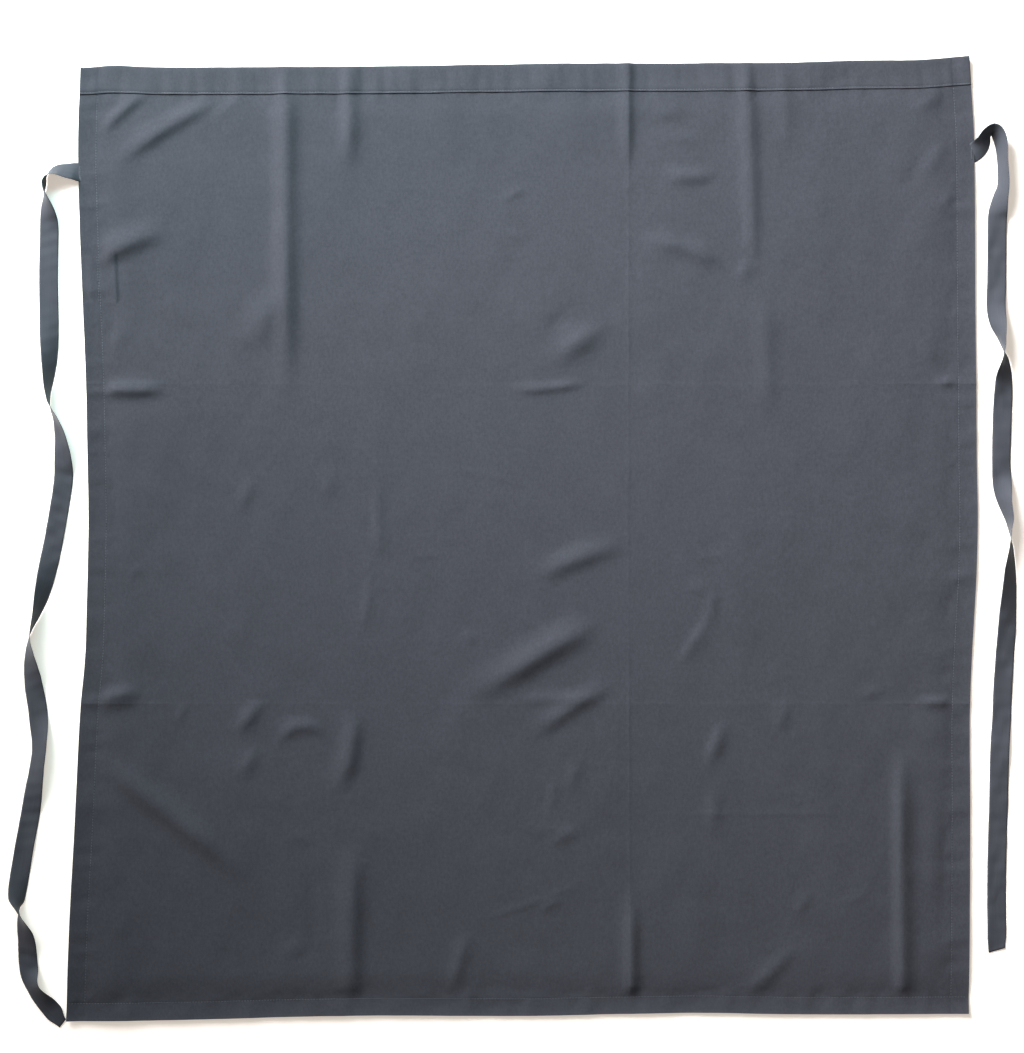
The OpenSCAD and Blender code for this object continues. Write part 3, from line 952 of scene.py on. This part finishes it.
@dataclass(frozen=True)
class Tape:
    """Woven tie tape: fine cross ribs, lengthwise streaks and a tight selvedge, on its own map."""

    name: str
    dark: Colour = (0.0370, 0.0380, 0.0465)
    light: Colour = (0.0570, 0.0590, 0.0710)
    width: float = TAPE_WIDTH * MM
    rib: float = 0.7 * MM
    end: float = 0.9 * MM

    def make(self) -> bpy.types.Material:
        """Build the material from the tape's map: U runs along it and V across it, in metres."""
        g = Graph(self.name)
        place = g.add("ShaderNodeUVMap", uv_map="cloth_map").outputs[0]
        ribs = g.bands(place, self.rib, Distortion=0.4)
        ends = g.bands(place, self.end, "Y", Distortion=0.3)
        streak = g.noise(g.stretched(place, (30.0, 1500.0, 1.0)), 1.0, 3.0)
        fleck = g.noise(place, 1100.0, 2.0, 0.7)
        across = g.add("ShaderNodeSeparateXYZ", {0: place}).outputs[1]
        edge = g.math("ABSOLUTE", g.math("SUBTRACT", across, self.width / 2.0))
        edge = g.ramp(edge, From_Min=self.width * 0.42, From_Max=self.width * 0.5)
        tone = g.weighted((streak, 0.6), (fleck, 0.35), (ribs, 0.12), (edge, 0.15))
        tone = g.ramp(tone, From_Min=0.3, From_Max=0.9)
        weave = g.bump(ribs, 0.35, 0.00015)
        weave = g.bump(ends, 0.25, 0.0001, weave)
        weave = g.bump(streak, 0.2, 0.0002, weave)
        rough = g.ramp(fleck, To_Min=0.72, To_Max=0.88)
        g.shade(Base_Color=g.tint(tone, self.dark, self.light), Normal=weave, Roughness=rough)
        g.shade(Specular_IOR_Level=0.25, Sheen_Weight=0.15, Sheen_Roughness=0.4)
        return g.material


@dataclass(frozen=True)
class Thread:
    """Twisted sewing thread: slanting plies and a slight gloss."""

    name: str
    dark: Colour = (0.048, 0.052, 0.062)
    light: Colour = (0.115, 0.122, 0.142)
    ply: float = 0.35 * MM

    def make(self) -> bpy.types.Material:
        """Build the material from the object's own coordinates."""
        g = Graph(self.name)
        place = g.add("ShaderNodeTexCoord").outputs["Object"]
        turned = g.stretched(place, (1.0, 1.0, 1.0), 0.8)
        plies = g.bands(turned, self.ply)
        fleck = g.noise(place, 700.0, 2.0)
        tone = g.weighted((plies, 0.5), (fleck, 0.6))
        bump = g.bump(plies, 0.5, 0.00008)
        rough = g.ramp(fleck, To_Min=0.45, To_Max=0.65)
        g.shade(Base_Color=g.tint(tone, self.dark, self.light), Normal=bump, Roughness=rough)
        g.shade(Specular_IOR_Level=0.4, Sheen_Weight=0.05)
        return g.material


@dataclass(frozen=True)
class LabelSatin:
    """White woven label with a fine satin weave and nothing printed on it."""

    name: str
    dark: Colour = (0.62, 0.61, 0.57)
    light: Colour = (0.78, 0.77, 0.73)

    def make(self) -> bpy.types.Material:
        """Build the material from the object's own coordinates."""
        g = Graph(self.name)
        place = g.add("ShaderNodeTexCoord").outputs["Object"]
        weave = g.noise(g.stretched(place, (2400.0, 260.0, 1.0)), 1.0, 2.0)
        g.shade(Base_Color=g.tint(weave, self.dark, self.light), Normal=g.bump(weave, 0.3, 0.0001))
        rough = g.ramp(weave, To_Min=0.4, To_Max=0.6)
        g.shade(Roughness=rough, Specular_IOR_Level=0.4)
        return g.material


@dataclass(frozen=True)
class Backdrop:
    """Matt white floor with the faintest unevenness, lit a little from below like a light table."""

    name: str
    dark: Colour = (0.91, 0.88, 0.84)
    light: Colour = (0.94, 0.91, 0.87)
    glow: float = 0.50
    glow_colour: Colour = (1.0, 0.88, 0.76)

    def make(self) -> bpy.types.Material:
        """Build the material from the object's own coordinates."""
        g = Graph(self.name)
        place = g.add("ShaderNodeTexCoord").outputs["Object"]
        g.shade(Base_Color=g.tint(g.noise(place, 3.0), self.dark, self.light))
        g.shade(Roughness=0.9, Specular_IOR_Level=0.1)
        g.shade(Emission_Color=(*self.glow_colour, 1.0), Emission_Strength=self.glow)
        return g.material


def dress(piece: bpy.types.Object, material: bpy.types.Material) -> None:
    """Give a piece its finish.

    Args:
        piece: The piece.
        material: Its only material.
    """
    piece.data.materials.clear()
    piece.data.materials.append(material)


def report(piece: bpy.types.Object) -> None:
    """Log a finished piece."""
    LOG.info("%s: %d faces", piece.name, len(piece.data.polygons))


# ---------------------------------------------------------------- studio


@dataclass(frozen=True)
class Softbox:
    """An area light: where it is, what it faces, its size, power and colour."""

    name: str
    place: tuple[float, float, float]
    facing: tuple[float, float, float]
    size: tuple[float, float]
    power: float
    colour: Colour
    spread: float = 180.0

    def make(self) -> None:
        """Build the light, turned to face its target."""
        lamp = bpy.data.lights.new(self.name, "AREA")
        lamp.shape = "RECTANGLE"
        lamp.size, lamp.size_y = self.size
        lamp.spread = math.radians(self.spread)
        lamp.energy, lamp.color = self.power, self.colour
        body = bpy.data.objects.new(self.name, lamp)
        bpy.context.scene.collection.objects.link(body)
        place_and_aim(body, self.place, self.facing)


def place_and_aim(body: bpy.types.Object, place: tuple[float, ...], facing: tuple[float, ...]) -> None:
    """Put a lamp or camera at a place with its -Z axis towards a point and +Y of the scene up.

    Args:
        body: The lamp or camera.
        place: Where it stands, in metres.
        facing: The point that it looks at.
    """
    back = (Vector(place) - Vector(facing)).normalized()
    up = Vector((0.0, 1.0, 0.0)) if abs(back.y) < 0.9 else Vector((0.0, 0.0, 1.0))
    right = up.cross(back).normalized()
    turned = Matrix((right, back.cross(right), back)).transposed().to_4x4()
    body.matrix_world = Matrix.Translation(Vector(place)) @ turned


@dataclass
class Studio:
    """Pale floor, soft light from beyond the waist edge, and a camera straight above."""

    view_width: float = 1.078
    view_centre: tuple[float, float] = (-0.0132, 0.0142)
    camera_height: float = 2.8
    lights: tuple[Softbox, ...] = (
        Softbox(
            "key_softbox", place=(-1.25, 1.60, 1.30), facing=(0.48, 0.28, 0.0), size=(2.3, 1.3),
            power=51.5, colour=(0.99, 0.965, 0.985), spread=70.0,
        ),
        Softbox(
            "window_softbox", place=(-0.40, 1.12, 0.72), facing=(-0.14, 0.35, 0.0), size=(0.9, 0.3),
            power=14.0, colour=(0.42, 0.94, 1.0),
        ),
    )
    sky: float = 0.16

    def camera(self) -> None:
        """Build the camera, whose lens covers view_width on the floor."""
        lens = bpy.data.cameras.new("camera")
        sensor = 36.0
        lens.sensor_fit, lens.sensor_width = "HORIZONTAL", sensor
        lens.lens = sensor * self.camera_height / self.view_width
        lens.clip_end = 30.0
        body = bpy.data.objects.new("camera", lens)
        bpy.context.scene.collection.objects.link(body)
        over = self.view_centre
        place_and_aim(body, (*over, self.camera_height), (*over, 0.0))
        bpy.context.scene.camera = body

    def light(self) -> None:
        """Build the lights, the sky and the colour settings."""
        for box in self.lights:
            box.make()
        world = bpy.data.worlds.new("studio_sky")
        world.use_nodes = True
        sky = world.node_tree.nodes["Background"]
        sky.inputs["Color"].default_value = (1.0, 1.0, 1.0, 1.0)
        sky.inputs["Strength"].default_value = self.sky
        scene = bpy.context.scene
        scene.world = world
        scene.view_settings.view_transform = "Standard"
        scene.view_settings.look = "None"

    def floor(self) -> None:
        """Build the floor, a flat square just under the hems."""
        half, under, count = 4.0, -0.0004, 9
        s = np.linspace(-half, half, count)
        x, y = np.meshgrid(s, s)
        points = np.stack([x, y, np.full_like(x, under)], -1).reshape(-1, 3)
        piece = new_mesh("floor", points, grid_quads(count, count))
        piece.data.materials.append(Backdrop("studio_floor").make())


# ---------------------------------------------------------------- ties


LEFT_ROUTE = (
    # tucked under the hem, then banked round the turn
    (-48, 0, 0), (-38, 0, 0), (-33, 0, -1), (-29.5, 0, -10), (-26, -0.3, -22), (-20, -0.6, -34),
    (-12, -1.3, -46), (-6, -0.5, -58), (-1, 1.8, -72), (3, 6, -86), (4.9, 12, -94), (5, 18, -88),
    (4.2, 24, -74), (2.4, 33, -54), (0.6, 46, -24), (0.2, 60, -4),
    # down beside the apron
    (1, 110, 0), (0, 160, 10), (-1, 200, 45), (-1, 240, 90),
    (-9, 262, 115), (-14, 285, 140), (-15, 320, 180), (-11, 350, 180), (-4, 390, 180),
    (5, 435, 215), (12, 463, 250), (20, 492, 285), (17, 535, 345), (12, 568, 360),
    (10, 600, 330), (13, 630, 330), (20, 675, 360), (28, 720, 360), (33, 758, 390),
    (31, 775, 450), (24, 805, 520), (22, 835, 540), (16, 858, 500), (0, 878, 530), (-14, 896, 540),
)
RIGHT_ROUTE = (
    # tucked under the hem, then up and banked round the turn
    (-48, 0, 0), (-40, 0, 0), (-33, -0.4, 1), (-27, -3, 5), (-21.5, -8, 17), (-18, -14, 36),
    (-15.5, -20, 52), (-12, -24, 60), (-8, -26, 62), (-4.5, -23, 56), (-1.5, -16, 54), (0.4, -6, 58),
    (1.4, 8, 63), (1.9, 31, 60), (0, 44, 48), (-1.8, 56, 30), (-2.6, 72, 6),
    # down beside the apron
    (-3, 130, 0), (-4, 165, 20), (0, 191, 70),
    (2, 203, 90), (4, 218, 125), (4, 240, 165), (3, 270, 180), (2, 305, 180), (2, 335, 180),
    (4, 362, 225), (9, 382, 250), (10, 395, 270), (11, 420, 300), (10, 450, 325),
    (8, 490, 345), (4, 550, 360), (2, 595, 360), (0, 626, 370), (-1, 680, 360),
    (-3, 750, 360), (-3, 810, 360), (-3, 837, 360),
)


@dataclass
class TapeTie:
    """A tape tie: tucked under the side hem, banked round its turn, then loose along its route.

    route holds its points: steps out from the turn, down from it, and the roll in degrees.
    end_skew slants the cut end by its millimetres and end_pinch narrows it by its share.
    """

    side: Side
    route: tuple[tuple[float, float, float], ...]
    length: float
    end_skew: float
    end_pinch: float
    width: float = TAPE_WIDTH
    thickness: float = 0.8
    spacing: float = 2.0

    @property
    def word(self) -> str:
        """The side's name, as the nodes spell it."""
        return self.side.name.lower()

    @property
    def turn(self) -> tuple[float, float]:
        """Where the tape turns down, in millimetres: the swing joint's place."""
        joint = next(j for j in frame["joints"] if j["name"] == f"{self.word}_tie_swing")
        return joint["pos_m"][0] / MM, joint["pos_m"][1] / MM

    def line(self) -> np.ndarray:
        """The smoothed route: rows of x, y and roll at about even spacing.

        A Catmull-Rom curve through the points, then resampled by its length in plan.
        """
        x0, y0 = self.turn
        way = self.side.value
        out, down, roll = np.array(self.route, float).T
        knots = np.stack([x0 + way * out, y0 - down, way * roll], 1)
        padded = np.concatenate([2 * knots[:1] - knots[1:2], knots, 2 * knots[-1:] - knots[-2:-1]])
        t = np.linspace(0.0, 1.0, 12, endpoint=False)[None, :, None]
        a, b, c, d = (padded[i: len(padded) - 3 + i, None, :] for i in range(4))
        square, cube = 2 * a - 5 * b + 4 * c - d, 3 * b - a - 3 * c + d
        curve = 0.5 * (2 * b + (c - a) * t + square * t**2 + cube * t**3)
        curve = np.concatenate([curve.reshape(-1, 3), knots[-1:]])
        gone = np.concatenate([[0.0], np.cumsum(np.hypot(*np.diff(curve[:, :2], axis=0).T))])
        at = np.linspace(0.0, gone[-1], int(gone[-1] / self.spacing) + 1)
        return np.stack([np.interp(at, gone, curve[:, k]) for k in range(3)], 1)

    def centreline(self) -> np.ndarray:
        """Points of the tape's middle, in millimetres.

        The tape's lower edge lies on the floor, so its middle is half its width up x |sin(roll)|.
        """
        line = self.line()
        roll = np.radians(line[:, 2])
        low = self.thickness / 2.0 * np.abs(np.cos(roll)) + self.width / 2.0 * np.abs(np.sin(roll)) + 0.1
        kernel = np.ones(5) / 5.0
        smooth = np.convolve(np.pad(low, 2, mode="edge"), kernel, mode="valid")
        return np.column_stack([line[:, :2], np.maximum(smooth, low - 0.2)])

    def directions(self, middle: np.ndarray, roll: np.ndarray) -> tuple[np.ndarray, np.ndarray, np.ndarray]:
        """The tape's own axes: its section is turned about its heading by the roll.

        Args:
            middle: (n, 3) points of the tape's middle.
            roll: (n, 1) roll at each point, in radians.

        Returns:
            Unit vectors along the tape, across it and out of its face, each (n, 3).
        """
        up = np.array((0.0, 0.0, 1.0))
        heading = np.gradient(middle, axis=0)
        heading = heading / np.linalg.norm(heading, axis=1, keepdims=True)
        flat = heading * (1.0, 1.0, 0.0)
        left = np.cross(up, flat / np.linalg.norm(flat, axis=1, keepdims=True))
        across = left * np.cos(roll) + up * np.sin(roll)
        across = across - heading * np.sum(across * heading, axis=1, keepdims=True)
        across = across / np.linalg.norm(across, axis=1, keepdims=True)
        return heading, across, np.cross(heading, across)

    def section(self) -> tuple[np.ndarray, np.ndarray]:
        """The tape's section: a flat rounded bar with thicker selvedges.

        Returns:
            Places across, from -1 to 1, and lifts from the middle in millimetres.
        """
        top = np.linspace(1.0, -1.0, 15)
        selvedge = 1.0 + 0.25 * smoothstep((np.abs(top) - 0.86) / 0.06)
        round_off = np.sqrt(np.clip(1.0 - ((np.abs(top) - 0.965) / 0.035).clip(0.0, 1.0) ** 2, 0.03, 1.0))
        half = 0.36 * selvedge * round_off
        return np.concatenate([top, top[::-1]]), np.concatenate([half, -half[::-1]]) * self.thickness

    def skin(self, middle: np.ndarray, gone: np.ndarray) -> np.ndarray:
        """Carry the section along the tape's middle.

        The section cups a little where the tape stands on its edge, ripples a little all along,
        and narrows and slants at the cut end. It is held above the floor.

        Args:
            middle: (n, 3) points of the tape's middle, in millimetres.
            gone: Length of tape up to each of them, in millimetres.

        Returns:
            Points of the skin, one row for each point of the middle, in millimetres.
        """
        pinch_run, skew_run, floor_gap = 16.0, 22.0, 0.06
        way = self.side.value
        roll = np.radians(self.line()[:, 2])[:, None]
        heading, across, normal = self.directions(middle, roll)
        place, lift = self.section()
        left_over = gone[-1] - gone
        narrow = 1.0 - self.end_pinch * (1.0 - smoothstep(left_over / pinch_run))
        skew = self.end_skew * (1.0 - smoothstep(left_over / skew_run))
        cup = 0.7 * np.abs(np.sin(roll[:, 0]))
        cup = cup + 0.25 * waves(gone, 0.0 * gone, 40 + way, 9, (25.0, 160.0))
        ripple = 0.22 * waves(gone[:, None], 9.0 * place[None], 60 + way, 12, (12.0, 70.0))
        ripple = ripple + 0.25 * waves(gone[:, None], 30.0 * place[None], 70 + way, 8, (60.0, 240.0))
        flutter = 1.0 - 0.6 * np.abs(np.sin(roll))
        above = lift[None] - cup[:, None] * place[None] ** 2 + ripple * flutter
        reach = self.width / 2.0 * place[None] * narrow[:, None]
        points = (
            middle[:, None]
            + across[:, None] * reach[..., None]
            + normal[:, None] * above[..., None]
            + heading[:, None] * (skew[:, None] * place[None])[..., None]
        )
        low = self.thickness * 0.5 * (0.2 + lift / self.thickness)
        points[..., 2] = np.maximum(points[..., 2], floor_gap + low[None])
        return points

    def build(self, material: bpy.types.Material) -> bpy.types.Object:
        """Make the tape, bake its transform and hide the imported tie nodes.

        Args:
            material: Finish of the tape.

        Returns:
            The tape.
        """
        middle = self.centreline()
        gone = np.linspace(0.0, 1.0, len(middle)) * self.spacing * (len(middle) - 1)
        points = self.skin(middle, gone)
        count, size = points.shape[:2]
        quads, caps = tube_faces(count, size)
        uv = np.broadcast_arrays(gone[:, None], self.width / 2.0 * (1.0 + self.section()[0][None]))
        uv = np.stack(uv, -1).reshape(-1, 2)
        name = f"{self.word}_tie_tape"
        piece = new_mesh(name, points.reshape(-1, 3) * MM, quads, uv=uv * MM, caps=caps)
        dress(piece, material)
        self.hold(piece)
        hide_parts(f"{self.word}_tie", f"{self.word}_tie_root")
        self.turn[1] * MM
        steps = np.linalg.norm(np.diff(middle, axis=0), axis=1)
        LOG.info("%s: %.3f m along its middle", name, steps.sum() * MM)
        return piece

    def hold(self, piece: bpy.types.Object) -> None:
        """Bake the tape's transform into its mesh."""
        x0, y0 = self.turn
        f"{self.word}_tie"
        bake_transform(piece)


# ---------------------------------------------------------------- sub-assemblies


def hem_ring(outer: float, inner: float, under: float) -> Knots:
    """Cross-section of a hem that is turned to the back.

    Args:
        outer: Place of the folded edge.
        inner: Place of the sewn edge.
        under: Height of the hem's upper face above the cloth's front.

    Returns:
        The section's corners, anticlockwise.
    """
    way = 1.0 if inner > outer else -1.0
    folded = ((1.0, 0.0), (0.05, -0.05), (-0.1, -0.3), (0.3, -0.62), (3.0, -0.72))
    sewn = ((4.0, -0.72), (0.8, -0.66), (0.0, -0.4), (0.5, -0.1), (3.0, 0.0))
    ring = tuple((outer + way * step, under + rise) for step, rise in folded)
    ring += tuple((inner - way * step, under + rise) for step, rise in sewn)
    return ring if inner > outer else ring[::-1]


@dataclass
class Crossing:
    """A fold across the cloth: the flap's body, the fold's place, a half width either side of it and a sign.
    """

    flap: str
    place: float
    half: float
    way: int

    def bend(self, piece: bpy.types.Object) -> None:
        """Bake a piece's transform into its mesh; the piece is not bent over the fold."""
        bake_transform(piece)


@dataclass
class Apron:
    """The apron's cloth pieces: two sheets, the waist band, the back hems, stitches and label."""

    cloth: Cloth
    twill: bpy.types.Material
    hem_twill: bpy.types.Material
    thread: bpy.types.Material
    satin: bpy.types.Material
    join_v: float = 20.0
    fine: float = 1.3
    coarse: float = 3.9
    sewn: list[bpy.types.Object] = field(default_factory=list)

    def __post_init__(self) -> None:
        """Work out the two folds from the joints' places."""
        self.upper = Crossing("upper_third", self.cloth.upper_crease, 12.0, 1)
        self.lower = Crossing("lower_third", self.cloth.lower_crease, 6.0, -1)

    def columns(self) -> np.ndarray:
        """Columns of the sheets' grids, close together at the side hems and the upright crease."""
        edge = self.cloth.half_w
        zones = ((-edge + 14, 14), (edge - 14, 14), (110.0, 5))
        return graded_line(-edge, edge, self.fine, self.coarse, zones)

    def sheets(self) -> tuple[bpy.types.Object, bpy.types.Object]:
        """The panel in two sheets that meet in the middle third, where neither bends."""
        c = self.cloth
        zones = ((c.waist_v - 18, 18), (c.upper_crease, self.upper.half + 2))
        rows = graded_line(self.join_v, c.waist_v, self.fine, self.coarse, zones)
        above = sheet_shell("upper_cloth", c, self.columns(), rows)
        zones = ((c.bottom_v + 12, 12), (c.lower_crease, self.lower.half + 2))
        rows = graded_line(c.bottom_v, self.join_v, self.fine, self.coarse, zones)
        below = sheet_shell("lower_cloth", c, self.columns(), rows)
        for piece, crossing, nodes in (
            (above, self.upper, ("upper_panel", "middle_panel")), (below, self.lower, ("lower_panel",)),
        ):
            dress(piece, self.twill)
            crossing.bend(piece)
            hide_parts(*nodes)
            report(piece)
        return above, below

    def waist_band(self) -> bpy.types.Object:
        """The waist hem: two layers on the front, wrapped over the top edge, with a free lower edge."""
        c = self.cloth
        low, top = c.waist_v - c.waist_hem_w, c.waist_v
        ring = (
            (top - 3.0, 0.0), (top - 0.5, 0.0), (top - 0.1, -0.3), (top - 1.2, -0.55), (top - 1.6, -0.8),
            (top - 0.5, -0.95), (top + 0.35, -0.7), (top + 0.62, -0.2), (top + 0.5, 0.35), (top + 0.05, 0.78),
            (top - 0.9, 1.0), (top - 3.0, 1.12), (top - 7.0, 1.18), (top - 13.0, 1.16), (low + 9.0, 1.12),
            (low + 5.0, 1.10), (low + 3.2, 1.02), (low + 2.1, 0.86), (low + 1.5, 0.80), (low + 1.0, 0.88),
            (low + 0.5, 1.10), (low + 0.0, 1.12), (low - 0.35, 0.90), (low - 0.4, 0.5), (low - 0.2, 0.12),
            (low + 0.2, 0.0), (low + 8.0, 0.0), (low + 16.0, 0.0),
        )
        edge = c.half_w + 0.15
        stations = graded_line(-edge, edge, 1.2, 2.6, ((-edge + 12, 12), (edge - 12, 12), (110.0, 4)))
        piece = swept_strip("waist_band", c, ring, stations, Run.ACROSS, sway=0.07, seed=31)
        dress(piece, self.hem_twill)
        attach(piece, "upper_third")
        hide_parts("waist_hem")
        report(piece)
        return piece

    def back_hem(
        self, name: str, ring: Knots, span: tuple[float, float], run: Run, node: str
    ) -> bpy.types.Object:
        """Make one stretch of a hem on the back.

        Args:
            name: Name of the piece.
            ring: Its cross-section.
            span: Where it starts and ends.
            run: Whether it runs across or up the apron.
            node: The node that it stands for.

        Returns:
            The stretch, dressed.
        """
        spacing = 3.0
        stations = np.linspace(*span, int((span[1] - span[0]) / spacing) + 2)
        piece = swept_strip(name, self.cloth, ring, stations, run, sway=0.05, seed=len(name))
        dress(piece, self.hem_twill)
        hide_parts(node)
        self.sewn.append(piece)
        report(piece)
        return piece

    def spans(self) -> dict[str, tuple[float, float]]:
        """Where each third's side hems and stitches run, split a half width either side of each fold."""
        c = self.cloth
        high, low = self.upper.place - self.upper.half, self.lower.place + self.lower.half
        return {
            "upper": (high, c.waist_v - 0.8),
            "middle": (low, high),
            "lower": (c.bottom_v + c.bottom_hem_w, low),
        }

    def hold(self, piece: bpy.types.Object, third: str) -> None:
        """Attach a sewn piece on the middle third to that third's body, and bake the transform of a piece on
        another third.

        Args:
            piece: The piece.
            third: The third that it lies on: upper, middle or lower.
        """
        if third == "middle":
            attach(piece, "middle_third")
        else:
            (self.upper if third == "upper" else self.lower).bend(piece)

    def hems(self) -> None:
        """The seven stretches of hem that are turned to the back."""
        c = self.cloth
        gap, end = 0.02, 0.1
        under = -c.thickness - gap
        for third, span in self.spans().items():
            for side in Side:
                ring = hem_ring(side.value * c.half_w, side.value * (c.half_w - c.side_hem_w), under)
                node = f"{side.name.lower()}_hem_{third}"
                self.hold(self.back_hem(f"{node}_cloth", ring, span, Run.UP, node), third)
        ring = hem_ring(c.bottom_v, c.bottom_v + c.bottom_hem_w, under)
        span = (-c.half_w + end, c.half_w - end)
        piece = self.back_hem("bottom_hem_cloth", ring, span, Run.ACROSS, "bottom_hem")
        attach(piece, "lower_third")

    def stitches(self) -> None:
        """Every row of stitches, one bead for each stitch."""
        c = self.cloth
        rows = []
        side_end, hem_gap, band_lift, label_gap = 1.0, 0.6, 0.82, 1.5
        for third, (low, high) in self.spans().items():
            high = c.waist_v - c.waist_hem_w - hem_gap if third == "upper" else high
            for side in Side:
                node = f"{side.name.lower()}_hem_{third}_stitches"
                rows.append((node, side.value * c.side_row, (low, high), Run.UP, 0.0, third))
        ends = (-c.half_w + side_end, c.half_w - side_end)
        rows.append(("bottom_hem_stitches", c.bottom_row, ends, Run.ACROSS, 0.0, "bottom"))
        rows.append(("waist_hem_stitches", c.waist_row, ends, Run.ACROSS, band_lift, "waist"))
        low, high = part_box("care_label")
        span = (low[1] / MM, high[1] / MM)
        rows.append(("care_label_stitches", -c.side_row - label_gap, span, Run.UP, 0.0, "label"))
        for seed, (node, at, span, run, lift, third) in enumerate(rows):
            piece = stitch_rows(f"{node}_thread", c, at, span, run, lift, seed)
            dress(piece, self.thread)
            if third in ("upper", "middle", "lower"):
                self.hold(piece, third)
            else:
                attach(piece, "lower_third" if third == "bottom" else "upper_third")
            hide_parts(node)
            self.sewn.append(piece)
            report(piece)

    def tacks(self) -> None:
        """The bars of tight stitches that hold the tie roots: short stitches side by side."""
        c = self.cloth
        first, pitch, left, right = 0.5, 1.05, 1.9, 2.1
        for side in Side:
            word = side.name.lower()
            low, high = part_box(f"{word}_tie_tack")
            middle = (low[0] + high[0]) / 2.0 / MM
            rows = np.arange(low[1] / MM + first, high[1] / MM, pitch)
            span = (middle - left, middle + right)
            name = f"{word}_tie_tack_thread"
            piece = stitch_rows(name, c, rows, span, Run.ACROSS, seed=50 + side.value)
            dress(piece, self.thread)
            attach(piece, "upper_third")
            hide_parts(f"{word}_tie_tack")
            self.sewn.append(piece)
            report(piece)

    def label(self) -> None:
        """The blank care label, a thin strip sewn under the hem and lying behind the panel."""
        low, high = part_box("care_label")
        gap = 0.06
        under = -self.cloth.thickness - gap
        a, b = low[0] / MM, high[0] / MM
        middle = (a + b) / 2
        ring = (
            (a, under), (a, under - 0.28), (middle, under - 0.3), (b, under - 0.28),
            (b + 0.1, under - 0.14), (b, under), (middle, under + 0.02),
        )
        stations = np.linspace(low[1] / MM, high[1] / MM, 24)
        piece = swept_strip("care_label_satin", self.cloth, ring, stations, Run.UP, sway=0.04, seed=5)
        dress(piece, self.satin)
        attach(piece, "upper_third")
        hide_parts("care_label")
        self.sewn.append(piece)
        report(piece)

    def build(self) -> None:
        above, below = self.sheets()
        band = self.waist_band()
        self.hems()
        self.stitches()
        self.tacks()
        self.label()


def build_ties(tape: bpy.types.Material) -> None:
    """Make both ties, each with its own route, length and cut end.

    Args:
        tape: Finish of the tapes.
    """
    ties = (
        TapeTie(Side.LEFT, LEFT_ROUTE, length=0.97, end_skew=1.5, end_pinch=0.45),
        TapeTie(Side.RIGHT, RIGHT_ROUTE, length=0.95, end_skew=-2.6, end_pinch=0.12),
    )
    for tie in ties:
        report(tie.build(tape))


def main() -> None:
    """Build the camera, the ties, the apron and the studio, in that order."""
    logging.basicConfig(level=logging.INFO, format="%(name)s: %(message)s")
    studio = Studio()
    studio.camera()
    build_ties(Tape("tie_tape_weave").make())
    apron = Apron(
        Cloth(), Twill("panel_twill_weave").make(),
        Twill("hem_twill_weave", dark=(0.0315, 0.0317, 0.0386), light=(0.0530, 0.0530, 0.0645)).make(),
        Thread("sewing_thread_twist").make(), LabelSatin("label_satin_weave").make(),
    )
    apron.build()
    studio.light()
    studio.floor()


if __name__ == "__main__":
    main()
